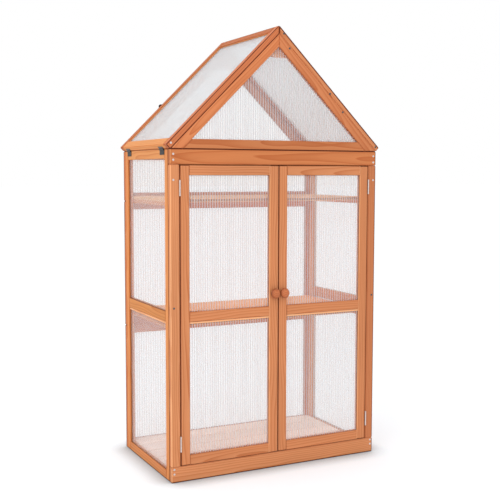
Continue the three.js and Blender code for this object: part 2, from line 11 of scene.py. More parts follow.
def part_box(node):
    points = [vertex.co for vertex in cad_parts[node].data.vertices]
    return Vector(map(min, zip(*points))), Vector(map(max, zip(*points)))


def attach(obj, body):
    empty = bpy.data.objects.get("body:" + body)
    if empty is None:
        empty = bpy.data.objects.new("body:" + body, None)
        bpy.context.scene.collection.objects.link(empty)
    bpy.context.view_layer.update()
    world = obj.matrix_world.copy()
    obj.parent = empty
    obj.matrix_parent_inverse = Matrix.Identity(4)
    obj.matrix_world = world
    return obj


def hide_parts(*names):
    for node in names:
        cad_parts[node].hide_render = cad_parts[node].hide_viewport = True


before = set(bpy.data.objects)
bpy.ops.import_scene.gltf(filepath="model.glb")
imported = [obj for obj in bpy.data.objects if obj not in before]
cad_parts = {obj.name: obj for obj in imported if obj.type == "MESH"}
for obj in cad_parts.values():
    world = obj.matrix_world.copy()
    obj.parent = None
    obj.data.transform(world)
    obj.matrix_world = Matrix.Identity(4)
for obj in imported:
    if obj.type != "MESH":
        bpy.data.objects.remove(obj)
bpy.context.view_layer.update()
draw = random.Random(7)

# Directions
RIGHT = Vector((1, 0, 0))
LEFT = Vector((-1, 0, 0))
BACK = Vector((0, 1, 0))
FRONT = Vector((0, -1, 0))
UP = Vector((0, 0, 1))

# Sizes of the frame, read from its nodes
header_low, header_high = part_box("front_header_rail")
base_low, base_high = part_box("front_bottom_rail")
post_low, post_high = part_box("left_front_post")
_, rake_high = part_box("front_gable_left_rake")
HALF_WIDTH = header_high.x
HALF_DEPTH = -header_low.y
BOARD = base_high.y - base_low.y
WALL_HEIGHT = header_high.z
POST_WIDTH = post_high.x - post_low.x
JOINT_GAP = post_low.z - base_high.z
HEADER_BOTTOM = post_high.z + JOINT_GAP
GABLE_RISE = rake_high.z - WALL_HEIGHT
PITCH = math.atan2(GABLE_RISE, HALF_WIDTH - rake_high.x)
SLOPE_LENGTH = HALF_WIDTH / math.cos(PITCH)

# Member widths, as in the frame
DOOR_MEMBER = 0.032
SIDE_STILE = 0.030
SIDE_RAILS = [(0, 0.030), (0.511, 0.545), (1.025, 1.055)]
BACK_MEMBER = 0.029
RAKE_WIDTH = 0.030
GABLE_RAIL = 0.031
ROOF_STILE = 0.028
EAVE_RAIL = 0.031
RIDGE_RAIL = 0.030
RIDGE_CLEARANCE = 0.0005
CLEAT = 0.012
CLEAT_END = 0.024
GUSSET_THICKNESS = 0.012
GUSSET_BELOW_CORNER = 0.032
GUSSET_INSET = 0.003
STOP_BEHIND_HEADER = 0.012

# Slatted floor
SLATS = 5
SLAT_GAP = 0.006
SLAT_THICKNESS = 0.012
BEARER = 0.030

# Twin-wall sheets
SHEET_RECESS = 0.006
SHEET_THICKNESS = 0.004
SHEET_BITE = 0.0075
GROOVE_DEPTH = 0.008
GROOVE_PLAY = 0.0003
SKIN = 0.0005
RIB = 0.0015
RIB_PITCH = 0.009

# Beads, and the broken edges and dark lines of boards; the lines also paint shade along outlines, at the
# foot and on the back wall's side edges
BEAD_WIDTH = 0.0060
BEAD_DEEP = 0.0015
ARRIS = 0.0020
EDGE_REACH = 1.2
LINE = 0.0034
SIDE_LINE = 1.5 * LINE
BACK_SIDE_LINE = 2.4 * LINE

# Knobs: radii, and heights from the door's face
KNOB_FOOT = 0.0085
KNOB_WAIST = 0.0058
KNOB_FOOT_EDGE = 0.0012
KNOB_FOOT_ROUND = 0.0006
KNOB_FOOT_TOP = 0.0024
KNOB_NECK_TOP = 0.008
KNOB_RIM = 0.014

# Painted shade on a knob: its colour's share at the neck, what it gains towards the top, and how far below
# the rim this starts
KNOB_NECK_SHADE = (0.42, 0.34, 0.30)
KNOB_GAIN = (0.62, 0.70, 0.76)
KNOB_FADE = 0.002

# Steps of a knob's curves, its sides, and the angle below which its edges are smooth
KNOB_STEPS = 8
KNOB_DOME_STEPS = 12
KNOB_SEGMENTS = 56
KNOB_SMOOTH = math.radians(50)

# Screws: a head's size, and the shares of its rise and radius at the bends of its profile
SCREW_RADIUS = 0.0034
SCREW_RISE = 0.0009
SCREW_LIFT = 0.0001
SCREW_EDGE = 0.4
SCREW_CROWN = 0.7
SOCKET_MOUTH = 0.35
SOCKET_FOOT = 0.3
SCREW_SEGMENTS = 20
SCREW_SMOOTH = math.radians(35)

# Places of screws, as X from the left end and Z from the ground
POST_SCREW_HEIGHT = 0.5586
FRONT_SCREWS = (
    (0.0105, 1.039), (0.0105, 1.021), (0.7495, 1.039), (0.7495, 1.018),
    (0.0105, 0.959), (0.0105, POST_SCREW_HEIGHT), (0.7495, 0.957), (0.7495, POST_SCREW_HEIGHT),
    (0.009, 0.043), (0.009, 0.028), (0.751, 0.043), (0.751, 0.028),
)
LID_SCREW = (0.003, 1.073)
ROOF_SCREWS = ((0.758, 1.070), (0.397, 1.4295), (0.573, 1.244), (0.418, 1.3835), (0.624, 1.185))

# Camera, fitted to the photograph's outlines
CAMERA_PLACE = (-1.4109, -2.8172, 0.9797)
CAMERA_AZIMUTH = -26.70
CAMERA_ELEVATION = 4.86
CAMERA_ROLL = 0.11
CAMERA_LENS = 64.95
CAMERA_SENSOR = 36

# Stage and lamps
FLOOR_HALF_SIZE = 60
FLOOR_BELOW = -0.0004
FLOOR_COLOUR = (0.86, 0.86, 0.86, 1)
FLOOR_SEEN = (0.71, 0.75, 0.79, 1)
FLOOR_GLOW = 0.30
FLOOR_GLOW_COLOUR = (1, 0.97, 0.94, 1)
# Reach of the floor's painted contact shadow
CONTACT_DISTANCE = 0.08
LAMP_TARGET = (0, 0, 0.7)

# Material slots of a board's mesh, and of a sheet's mesh
FACE, JOINT_AND_SHADE, HIGHLIGHT, SHADED_LIP = 0, 1, 2, 3
SKIN_FACE, RIB_FACE, SEAM_FACE = 0, 1, 2

# A face is square to a direction if its normal has this share of it; lengths this close are equal
SQUARE_ON = 0.9
NEARLY = 1e-6

# Shares of red, green and blue that a board keeps of the wood's colour: stains, and on some boards painted
# light and shade
PLAIN = (1, 1, 1)
# Painted warm light: the side walls warmer
GOLDEN = (1.06, 1.03, 0.74)
DEEP = (0.95, 0.82, 0.66)
LIGHT = (1.08, 1.14, 1.18)
RUDDY = (0.90, 0.72, 0.66)
# Painted shade: darker and deeper, on the lid's left stile and on the ridge rails
SHADED = (0.80, 0.60, 0.42)
# Painted warm light: the top rails of the side walls and the eave rails warmer and lighter
HONEY = (1.10, 1.19, 0.92)
DUSKY = (0.90, 0.82, 0.78)
STRAW = (0.97, 0.97, 0.78)
MUSTARD = (0.95, 0.96, 0.62)
# Painted light: lighter, for the light that the sheets scatter over the right wall's stiles
PAINTED_HAZE_LIGHT = (1.14, 1.34, 1.42)
BLEACHED = (1.15, 1.35, 1.50)
# Painted shade: the back wall's frames darker in green and blue
ROSY = (1.0, 0.90, 0.84)
LEFT_RAKE = (1.0, 0.88, 0.80)
RIGHT_RAKE = (0.96, 0.87, 0.82)
GABLE_FOOT = (0.87, 0.78, 0.68)
SHELF_STAINS = {"middle": (1.14, 1.08, 0.78), "upper": (1.15, 1.30, 1.36)}

# Ranges of the seed that moves a board's grain, and of the chance in the shares of its colour
SEED_RANGES = ((0, 9), (-9, 9), (4, 14))
CHANCE = (0.97, 1.03)

# Grain: the tilt, slow wander and pith of a board, and the stretch of its rings and fibres
GRAIN_TILT = (0, math.radians(1.0), math.radians(0.4))
WANDER_STRETCH = (1.8, 7.0, 7.0)
WANDER = 0.035
PITH_PLACE = (0, 0.004, 0.004)
RING_STRETCH = (0.08, 1, 1)
FIBRE_STRETCH = (9, 420, 420)

# Radians per metre of the wave texture at a scale of 1
WAVE_TURN = 20

# Places across a ring, each with its share of the late wood's colour
RING_STOPS = ((0.0, 0.15), (0.55, 0.35), (0.85, 0.8), (0.95, 1.0), (1.0, 0.3))

# Changes of the wood's value with fibres and blotches, each with its lowest, and on end grain
FIBRE_VALUE = (0.16, 0.92)
BLOTCH_VALUE = (0.36, 0.82)
END_GRAIN_VALUE = -0.22

# Change of the wood's roughness with fibres
FIBRE_ROUGHNESS = 0.18

# Sheets: the tint of light that goes straight through, and the share of scattered light that goes on
CLEAR_TINT = (0.998, 0.9995, 1, 1)
ONWARD_SHARE = 0.4

# Scratches of metal
SCRATCH_SCALE = 260
SCRATCH_DETAIL = 4
SCRATCH_ROUGHNESS = 0.2


def new_material(name):
    material = bpy.data.materials.new(name)
    material.use_nodes = True
    return material, material.node_tree.nodes, material.node_tree.links


def feed(links, socket, value):
    """Sets a socket to a value, or links another node's output to it."""
    if isinstance(value, bpy.types.NodeSocket):
        links.new(value, socket)
    else:
        socket.default_value = value


def math_node(nodes, links, operation, *values):
    node = nodes.new("ShaderNodeMath")
    node.operation = operation
    for socket, value in zip(node.inputs, values):
        feed(links, socket, value)
    return node.outputs[0]


def vector_node(nodes, links, operation, *values):
    node = nodes.new("ShaderNodeVectorMath")
    node.operation = operation
    sockets = (node.inputs[0], node.inputs["Scale"]) if operation == "SCALE" else node.inputs
    for socket, value in zip(sockets, values):
        feed(links, socket, value)
    return node.outputs[0]


def noise_node(nodes, links, vector, detail, scale=1):
    node = nodes.new("ShaderNodeTexNoise")
    node.inputs["Scale"].default_value = scale
    node.inputs["Detail"].default_value = detail
    links.new(vector, node.inputs["Vector"])
    return node


def attribute_node(nodes, name):
    node = nodes.new("ShaderNodeAttribute")
    node.attribute_name = name
    return node.outputs["Vector"]


def linear(colour):
    """A written sRGB colour, 0 to 255, as linear values."""
    shares = [c / 255 for c in colour]
    return [s / 12.92 if s <= 0.04045 else ((s + 0.055) / 1.055) ** 2.4 for s in shares] + [1]


def mixed(first, second, share):
    """A colour between two written colours, linear, with the share of the second."""
    a, b = linear(first), linear(second)
    return [x + (y - x) * share for x, y in zip(a, b)]


def wood_material(name, early, late, ring_spacing=0.0045, contrast=1.0, roughness=0.62, shade=1.0):
    """Stained fir. The grain runs along each board's own X; the board's seed moves it."""
    material, nodes, links = new_material(name)
    shader = nodes["Principled BSDF"]
    coordinates = nodes.new("ShaderNodeTexCoord")
    seed = attribute_node(nodes, "board_seed")
    stain = attribute_node(nodes, "board_stain")
    tilt = nodes.new("ShaderNodeMapping")
    tilt.inputs["Rotation"].default_value = GRAIN_TILT
    links.new(coordinates.outputs["Object"], tilt.inputs["Vector"])

    # The grain wanders slowly along the board
    stretched = vector_node(nodes, links, "MULTIPLY", tilt.outputs[0], WANDER_STRETCH)
    shifted = vector_node(nodes, links, "ADD", stretched, seed)
    slow = noise_node(nodes, links, shifted, detail=2)
    centred = vector_node(nodes, links, "SUBTRACT", slow.outputs["Color"], (0.5, 0.5, 0.5))
    wander = vector_node(nodes, links, "SCALE", centred, WANDER)
    bent = vector_node(nodes, links, "ADD", tilt.outputs[0], wander)

    # The pith lies behind the board, at a place of the board's own
    pith = vector_node(nodes, links, "MULTIPLY_ADD", seed, PITH_PLACE, bent)
    rings = nodes.new("ShaderNodeTexWave")
    rings.wave_type = "RINGS"
    rings.rings_direction = "X"
    rings.wave_profile = "SAW"
    rings.inputs["Scale"].default_value = 2 * math.pi / (WAVE_TURN * ring_spacing)
    rings.inputs["Distortion"].default_value = 1.6
    rings.inputs["Detail"].default_value = 2.0
    rings.inputs["Detail Scale"].default_value = 0.35
    links.new(vector_node(nodes, links, "MULTIPLY", pith, RING_STRETCH), rings.inputs["Vector"])

    # Over a ring the wood darkens slowly, and turns pale again at once
    ramp = nodes.new("ShaderNodeValToRGB")
    elements = ramp.color_ramp.elements
    for index, (position, late_share) in enumerate(RING_STOPS):
        element = elements[index] if index < len(elements) else elements.new(position)
        element.position = position
        element.color = mixed(early, late, late_share * contrast)
    links.new(rings.outputs["Fac"], ramp.inputs["Fac"])

    # The value falls and rises with the fibres and blotches, and end grain is darker
    fine = vector_node(nodes, links, "MULTIPLY", bent, FIBRE_STRETCH)
    fibre = noise_node(nodes, links, fine, detail=3).outputs["Fac"]
    blotch = noise_node(nodes, links, shifted, detail=3).outputs["Fac"]
    fibre_share = math_node(nodes, links, "MULTIPLY_ADD", fibre, *FIBRE_VALUE)
    blotch_share = math_node(nodes, links, "MULTIPLY_ADD", blotch, *BLOTCH_VALUE)
    value = math_node(nodes, links, "MULTIPLY", fibre_share, blotch_share)
    facing = nodes.new("ShaderNodeSeparateXYZ")
    links.new(coordinates.outputs["Normal"], facing.inputs[0])
    along = math_node(nodes, links, "ABSOLUTE", facing.outputs["X"])
    end_grain = math_node(nodes, links, "GREATER_THAN", along, SQUARE_ON)
    end_shade = math_node(nodes, links, "MULTIPLY_ADD", end_grain, END_GRAIN_VALUE, shade)
    value = math_node(nodes, links, "MULTIPLY", value, end_shade)
    shaded = vector_node(nodes, links, "SCALE", ramp.outputs["Color"], value)
    # The board's shares of colour: stains, and on some boards painted light and shade
    links.new(vector_node(nodes, links, "MULTIPLY", shaded, stain), shader.inputs["Base Color"])

    lowest = roughness - FIBRE_ROUGHNESS / 2
    rough = math_node(nodes, links, "MULTIPLY_ADD", fibre, FIBRE_ROUGHNESS, lowest)
    links.new(rough, shader.inputs["Roughness"])
    bump = nodes.new("ShaderNodeBump")
    bump.inputs["Strength"].default_value = 0.35
    bump.inputs["Distance"].default_value = 0.0003
    links.new(fibre, bump.inputs["Height"])
    links.new(bump.outputs["Normal"], shader.inputs["Normal"])
    shader.inputs["Specular IOR Level"].default_value = 0.25
    return material


def sheet_material(name, colour, haze, roughness):
    """Milky polycarbonate: haze is the share of light that scatters at a face, some of it back and some
    of it onward, and the rest goes straight through."""
    material, nodes, links = new_material(name)
    shader = nodes["Principled BSDF"]
    shader.inputs["Base Color"].default_value = linear(colour)
    shader.inputs["Roughness"].default_value = roughness
    shader.inputs["IOR"].default_value = 1.4
    onward = nodes.new("ShaderNodeBsdfTranslucent")
    onward.inputs["Color"].default_value = linear(colour)
    clear = nodes.new("ShaderNodeBsdfTransparent")
    clear.inputs["Color"].default_value = CLEAR_TINT
    scattered = nodes.new("ShaderNodeMixShader")
    scattered.inputs["Fac"].default_value = ONWARD_SHARE
    links.new(shader.outputs[0], scattered.inputs[1])
    links.new(onward.outputs[0], scattered.inputs[2])
    seen = nodes.new("ShaderNodeMixShader")
    seen.inputs["Fac"].default_value = haze
    links.new(clear.outputs[0], seen.inputs[1])
    links.new(scattered.outputs[0], seen.inputs[2])
    links.new(seen.outputs[0], nodes["Material Output"].inputs["Surface"])
    return material


def metal_material(name, colour, roughness, metallic, scratch):
    """Steel or paint with fine scratches; scratch is how much darker they are."""
    material, nodes, links = new_material(name)
    shader = nodes["Principled BSDF"]
    shader.inputs["Metallic"].default_value = metallic
    coordinates = nodes.new("ShaderNodeTexCoord")
    scratches = noise_node(nodes, links, coordinates.outputs["Object"], SCRATCH_DETAIL, SCRATCH_SCALE)
    noise = scratches.outputs["Fac"]
    ramp = nodes.new("ShaderNodeValToRGB")
    ramp.color_ramp.elements[0].color = [c * (1 - scratch) for c in linear(colour)[:3]] + [1]
    ramp.color_ramp.elements[1].color = linear(colour)
    links.new(noise, ramp.inputs["Fac"])
    links.new(ramp.outputs["Color"], shader.inputs["Base Color"])
    lowest = roughness - SCRATCH_ROUGHNESS / 2
    rough = math_node(nodes, links, "MULTIPLY_ADD", noise, SCRATCH_ROUGHNESS, lowest)
    links.new(rough, shader.inputs["Roughness"])
    return material


FRAME_EARLY = (216, 143, 96)
FRAME_LATE = (192, 112, 66)
frame_wood = wood_material("stained_fir", FRAME_EARLY, FRAME_LATE, ring_spacing=0.006)
# Dark wood: joint lines, and painted shade in gaps, along outlines and at the foot
joint_and_shade_wood = wood_material("stained_fir_joint", (118, 52, 24), (92, 38, 16), ring_spacing=0.006)
# Pale wood: a painted highlight on lit arrises, on the lips under rails and on the beads
highlight_wood = wood_material("stained_fir_worn_edge", (246, 190, 142), (230, 164, 114), ring_spacing=0.006)
# Frame wood at 0.58 of its value: painted shade on the lips in front of grooves and on the shelves' front
# edges
shaded_lip_wood = wood_material("stained_fir_lip", FRAME_EARLY, FRAME_LATE, ring_spacing=0.006, shade=0.58)
inner_wood = wood_material("pale_fir", (236, 172, 120), (218, 144, 94), contrast=0.8, roughness=0.68)
floor_wood = wood_material("bare_fir", (252, 236, 226), (246, 222, 208), contrast=0.8, roughness=0.7)
knob_wood = wood_material("varnished_fir", (205, 122, 76), (172, 90, 50), ring_spacing=0.003, roughness=0.4)
sheet_skin = sheet_material("sheet_skin", (252, 254, 255), haze=0.065, roughness=0.25)
# The roof's sheets are far milkier than the walls': the extra haze paints the pale reflection of their
# grazing view
roof_skin_with_painted_reflection = sheet_material("cloudy_sheet_skin", (243, 247, 249), haze=0.42, roughness=0.3)
sheet_rib = sheet_material("sheet_rib", (248, 251, 255), haze=0.06, roughness=0.35)
sheet_seam = sheet_material("sheet_seam", (236, 238, 243), haze=0.62, roughness=0.35)
bright_steel = metal_material("zinc_plated_steel", (226, 216, 212), roughness=0.36, metallic=1.0,
                              scratch=0.12)
black_steel = metal_material("black_painted_steel", (38, 36, 35), roughness=0.5, metallic=0.2,
                             scratch=0.3)
# Grey steel: darker than zinc on the post and roof screws, as painted shade, and paler than black on the
# lid's hinge leaves, as a painted reflection
steel_painted_shade_and_reflection = metal_material("dark_zinc_steel", (96, 94, 96), roughness=0.45, metallic=0.6,
                            scratch=0.25)


def basis(corner, right, up):
    """The matrix of a place whose X is right, Y is up and Z comes out of the face."""
    outward = right.cross(up)
    matrix = Matrix((right, up, outward)).transposed().to_4x4()
    matrix.translation = corner
    return matrix


def moved(place, x, y, z):
    return place @ Matrix.Translation((x, y, z))


def lying(place, left, bottom):
    """A place for a board that lies along the panel's X."""
    return moved(place, left, bottom, 0)


def standing(place, right, bottom):
    """A place for a board that stands along the panel's Y, with its low side on the right."""
    return moved(place, right, bottom, 0) @ Matrix.Rotation(math.radians(90), 4, "Z")


def new_object(name, mesh, matrix, body, slot, nodes=()):
    piece = bpy.data.objects.new(name, mesh)
    bpy.context.scene.collection.objects.link(piece)
    piece.matrix_world = matrix
    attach(piece, body)
    if nodes:
        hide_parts(*nodes)


def mesh_of(bm, name, materials, smooth_angle=None):
    bmesh.ops.recalc_face_normals(bm, faces=bm.faces)
    mesh = bpy.data.meshes.new(name)
    if smooth_angle is not None:
        for face in bm.faces:
            face.smooth = True
        for edge in bm.edges:
            edge.smooth = edge.calc_face_angle(math.pi) < smooth_angle
    bm.to_mesh(mesh)
    bm.free()
    for material in materials:
        mesh.materials.append(material)
    return mesh


def set_board_values(mesh, stain):
    """A seed that moves the grain, and shares of the wood's colour with a little chance in them, the same
    all over one board. They hold stains, and on some boards painted light and shade.
    """
    seed = [draw.uniform(*span) for span in SEED_RANGES]
    vectors = mesh.attributes.new("board_seed", "FLOAT_VECTOR", "POINT")
    vectors.data.foreach_set("vector", seed * len(mesh.vertices))
    chance = draw.uniform(*CHANCE)
    stains = mesh.attributes.new("board_stain", "FLOAT_VECTOR", "POINT")
    stains.data.foreach_set("vector", [chance * share for share in stain] * len(mesh.vertices))


def prism(bm, profile, start, end):
    """A straight body along X over a profile of (y, z) points. start and end give X as
    (at the origin, per y, per z)."""
    rings = []
    for offset, per_y, per_z in (start, end):
        rings.append([bm.verts.new((offset + per_y * y + per_z * z, y, z)) for y, z in profile])
    first, last = rings
    bm.faces.new(list(reversed(first)))
    bm.faces.new(last)
    for index in range(len(profile)):
        following = (index + 1) % len(profile)
        bm.faces.new((first[index], first[following], last[following], last[index]))
    return first, last


def groove(y, depth, front, back):
    """Profile points of a groove that opens at y, as (y, z, in the groove)."""
    return [(y, front, True), (y + depth, front, True), (y + depth, back, True), (y, back, True)]


def paint_edges(faces, length, width, thickness, cuts, arris, dark, dark_back, pale):
    """Paints a board's broken edges by the sides that they run beside: dark ones are joint lines that also
    paint the shade in gaps and along outlines, and pale ones paint a highlight.
    """
    start_cut, end_cut = cuts
    reach = EDGE_REACH * arris
    for face in faces:
        centre = face.calc_center_median()
        from_start = centre.x - start_cut[0] * centre.y - start_cut[1] * centre.z
        from_end = length + end_cut[0] * centre.y + end_cut[1] * centre.z - centre.x
        distances = {"l": centre.y, "h": width - centre.y, "s": from_start, "e": from_end}
        near = {side for side, distance in distances.items() if distance < reach}
        in_front = centre.z > -reach
        behind = centre.z < reach - thickness
        if near & set(dark_back if behind else dark):
            face.material_index = JOINT_AND_SHADE
        elif in_front and near & set(pale):
            face.material_index = HIGHLIGHT


def cut_mesh(bm, point, normal):
    """Adds edges where a plane crosses the mesh."""
    bmesh.ops.bisect_plane(bm, geom=[*bm.verts, *bm.edges, *bm.faces], plane_co=point, plane_no=normal)
    bm.normal_update()


def paint_lines(bm, length, width, lines, side_lines, depth):
    """Paints a dark line on the outer face along the sides in lines, and one on each side in side_lines,
    beside the outer face. The lines paint shade at the foot, along outlines and on the back wall's side
    edges."""
    places = {"l": (1, LINE, -1), "h": (1, width - LINE, 1),
              "s": (0, LINE, -1), "e": (0, length - LINE, 1)}
    for side in lines:
        axis, at, sign = places[side]
        point, normal = [0, 0, 0], [0, 0, 0]
        point[axis], normal[axis] = at, 1
        cut_mesh(bm, point, normal)
        for face in bm.faces:
            if face.normal.z > SQUARE_ON and (face.calc_center_median()[axis] - at) * sign > 0:
                face.material_index = JOINT_AND_SHADE
    for side in side_lines:
        sign = 1 if side == "h" else -1
        cut_mesh(bm, (0, 0, depth), (0, 0, 1))
        for face in bm.faces:
            if face.normal.y * sign > SQUARE_ON and face.calc_center_median().z > depth:
                face.material_index = JOINT_AND_SHADE


def plank(name, body, matrix, length, width, nodes=(), thickness=BOARD, grooves="", dark="", dark_back="",
          pale="", lines="", side_lines="", line_depth=SIDE_LINE, low_lip=SHADED_LIP, front_edge=False,
          start_cut=(0, 0), end_cut=(0, 0), slant=0, tenon=None, arris=ARRIS, wood=None, stain=PLAIN,
          slot=None):
    """A board along X, from Y = 0 to its width, with its outer face at Z = 0. Its back is narrower by
    slant. Sides are l(ow) Y, h(igh) Y, s(tart) and e(nd): grooves names the grooved ones; dark and
    dark_back those whose front or back arrises are dark, as joint lines and painted shade; pale those
    whose front arrises carry a painted highlight; and lines and side_lines those with a dark line, which
    paints shade at the foot and along outlines. low_lip is the material slot of the lip in front of a low
    groove, and front_edge gives the low side the lips' painted shade. start_cut and end_cut give an
    end's X per Y and per Z, and tenon the lowest and highest Y of a tenon at each end."""
    front = -(SHEET_RECESS - GROOVE_PLAY)
    back = -(SHEET_RECESS + SHEET_THICKNESS + GROOVE_PLAY)
    outline = [(0, 0, False)]
    if "l" in grooves:
        outline += groove(0, GROOVE_DEPTH, front, back)
    outline += [(0, -thickness, False), (width - slant, -thickness, False)]
    if "h" in grooves:
        outline += reversed(groove(width, -GROOVE_DEPTH, front, back))
    outline += [(width, 0, False)]
    bm = bmesh.new()
    profile = [(y, z) for y, z, _ in outline]
    first, last = prism(bm, profile, (0, *start_cut), (length, *end_cut))
    plain = set()
    for ring in (first, last):
        plain |= {vert for vert, (_, _, in_groove) in zip(ring, outline) if not in_groove}
    bmesh.ops.recalc_face_normals(bm, faces=bm.faces)
    for face in bm.faces:
        centre = face.calc_center_median()
        at_side = {"l": abs(centre.y) < NEARLY, "h": abs(centre.y - width) < NEARLY}
        lips = [side for side in "lh" if side in grooves and at_side[side]]
        # Lips in front of grooves and a shelf's front edge take painted shade, unless low_lip gives a low
        # lip another slot
        if (lips and centre.z > front) or (front_edge and face.normal.y < -SQUARE_ON):
            face.material_index = low_lip if lips == ["l"] else SHADED_LIP
    edges = [e for e in bm.edges if e.verts[0] in plain and e.verts[1] in plain]
    rounded = bmesh.ops.bevel(bm, geom=edges, offset=arris, segments=2, affect="EDGES", clamp_overlap=True)
    for face in rounded["faces"]:
        face.material_index = FACE
    cuts = (start_cut, end_cut)
    paint_edges(rounded["faces"], length, width, thickness, cuts, arris, dark, dark_back, pale)
    paint_lines(bm, length, width, lines, side_lines, -line_depth)
    if tenon:
        low, high = tenon
        z_low, z_high = back + GROOVE_PLAY, front - GROOVE_PLAY
        stub = [(low, z_high), (low, z_low), (high, z_low), (high, z_high)]
        prism(bm, stub, (-SHEET_BITE, *start_cut), (0, *start_cut))
        prism(bm, stub, (length, *end_cut), (length + SHEET_BITE, *end_cut))
    mesh = mesh_of(bm, name, [wood or frame_wood, joint_and_shade_wood, highlight_wood, shaded_lip_wood])
    set_board_values(mesh, stain)
    new_object(name, mesh, matrix, body, slot or ("inner_wood" if wood else "frame_wood"), nodes)


def twin_wall(name, body, place, left, right, bottom_of, top_of, nodes, breaks=(), skin=sheet_skin):
    """A twin-wall sheet: two skins joined by upright ribs, milkier where a rib meets a skin.
    bottom_of and top_of give Y at an X, and breaks are the X at which the outline turns."""
    count = max(2, round((right - left) / RIB_PITCH))
    pitch = (right - left - RIB) / count
    rib_starts = [left + index * pitch for index in range(count + 1)]
    marks = sorted({*rib_starts, *(start + RIB for start in rib_starts), *breaks})
    outer, inner = -SHEET_RECESS, -(SHEET_RECESS + SHEET_THICKNESS)
    levels = (outer, outer - SKIN, inner + SKIN, inner)
    bm = bmesh.new()
    grid = {}
    for column, x in enumerate(marks):
        for row, y in enumerate((bottom_of(x), top_of(x))):
            for depth, z in enumerate(levels):
                grid[column, row, depth] = bm.verts.new((x, y, z))

    def is_rib(column):
        middle = (marks[column] + marks[column + 1]) / 2
        return any(start < middle < start + RIB for start in rib_starts)

    def quad(kind, *keys):
        bm.faces.new([grid[key] for key in keys]).material_index = kind

    def skin_face(kind, column, depth):
        """From one mark to the next, at one depth."""
        quad(kind, (column, 0, depth), (column + 1, 0, depth), (column + 1, 1, depth), (column, 1, depth))

    def end_face(kind, column, row, depth):
        """From one mark to the next, at the sheet's foot or top."""
        quad(kind, (column, row, depth), (column + 1, row, depth),
             (column + 1, row, depth + 1), (column, row, depth + 1))

    def cross_face(column, depth):
        """Upright at a mark, from one depth to the next."""
        quad(RIB_FACE, (column, 0, depth), (column, 1, depth),
             (column, 1, depth + 1), (column, 0, depth + 1))

    last = len(marks) - 1
    for column in range(last):
        ribbed = is_rib(column)
        # The faces in front and behind, then the ends of the skins and ribs, then the open cells
        for depth in (0, 3):
            skin_face(SEAM_FACE if ribbed else SKIN_FACE, column, depth)
        for row in (0, 1):
            for depth in ((0, 1, 2) if ribbed else (0, 2)):
                end_face(RIB_FACE if ribbed else SKIN_FACE, column, row, depth)
        if not ribbed:
            for depth in (1, 2):
                skin_face(SKIN_FACE, column, depth)
    # The sheet's two upright sides, and the sides of the ribs
    for column in range(last + 1):
        if column in (0, last):
            for depth in (0, 1, 2):
                cross_face(column, depth)
        elif is_rib(column - 1) != is_rib(column):
            cross_face(column, 1)
    mesh = mesh_of(bm, name, [skin, sheet_rib, sheet_seam])
    new_object(name, mesh, place, body, "twin_wall_sheet", nodes)


def pane(name, body, place, left, right, bottom, top, nodes, skin=sheet_skin):
    """A square-cornered sheet that bites into the members round its bay."""
    twin_wall(name, body, place, left - SHEET_BITE, right + SHEET_BITE,
              lambda x: bottom - SHEET_BITE, lambda x: top + SHEET_BITE, nodes, skin=skin)


def panel(prefix, body, place, width, stile, rails, frame_nodes, sheet_nodes, edges, stain=PLAIN,
          beads=True):
    """Two stiles, rails between them, and a sheet in each bay. The stiles run from the lowest
    rail's foot to the highest rail's top. frame_nodes names the nodes of each member, or is one name.
    edges gives plank's colour and edge arguments, painted light among them, for the left and right
    stiles and the bottom, middle and top rails. beads puts a bead in the lowest bay, under the rail
    above it, in pale wood that paints a highlight."""
    names = ["left_stile", "right_stile", *[f"rail_{index + 1}" for index in range(len(rails))]]
    if isinstance(frame_nodes, str):
        frame_nodes = [frame_nodes] * len(names)
    node_of = dict(zip(names, frame_nodes))

    def member(name, edge, member_place, length, member_width, **more):
        finish = {"stain": stain, **more, **edges.get(edge, {})}
        plank(f"{prefix}_{name}", body, member_place, length, member_width, (node_of[name],), **finish)

    bottom, top = rails[0][0], rails[-1][1]
    member("left_stile", "left", standing(place, stile, bottom), top - bottom, stile, grooves="l")
    member("right_stile", "right", standing(place, width, bottom), top - bottom, stile, grooves="h")
    last = len(rails) - 1
    length = width - 2 * stile - 2 * JOINT_GAP
    for index, (low, high) in enumerate(rails):
        tenon_low = GROOVE_DEPTH if index > 0 else 0
        tenon_high = high - low - (GROOVE_DEPTH if index < last else 0)
        # The lip under each rail above the lowest takes a painted highlight
        member(f"rail_{index + 1}", {0: "bottom", last: "top"}.get(index, "middle"),
               lying(place, stile + JOINT_GAP, low), length, high - low,
               grooves=("l" if index > 0 else "") + ("h" if index < last else ""),
               tenon=(tenon_low, tenon_high), low_lip=HIGHLIGHT, arris=ARRIS / 2)
    for index, sheet_node in enumerate(sheet_nodes):
        low, high = rails[index][1], rails[index + 1][0]
        pane(sheet_node + "_twin_wall", body, place, stile, width - stile, low, high, (sheet_node,))
        # The bead's pale wood paints a highlight under the rail
        if beads and index == 0:
            bead_place = moved(place, stile + JOINT_GAP, high - JOINT_GAP - BEAD_WIDTH, -BEAD_DEEP)
            plank(sheet_node + "_bead", body, bead_place, width - 2 * (stile + JOINT_GAP), BEAD_WIDTH,
                  thickness=SHEET_RECESS - BEAD_DEEP - JOINT_GAP, arris=ARRIS / 2, wood=highlight_wood,
                  slot="frame_wood")


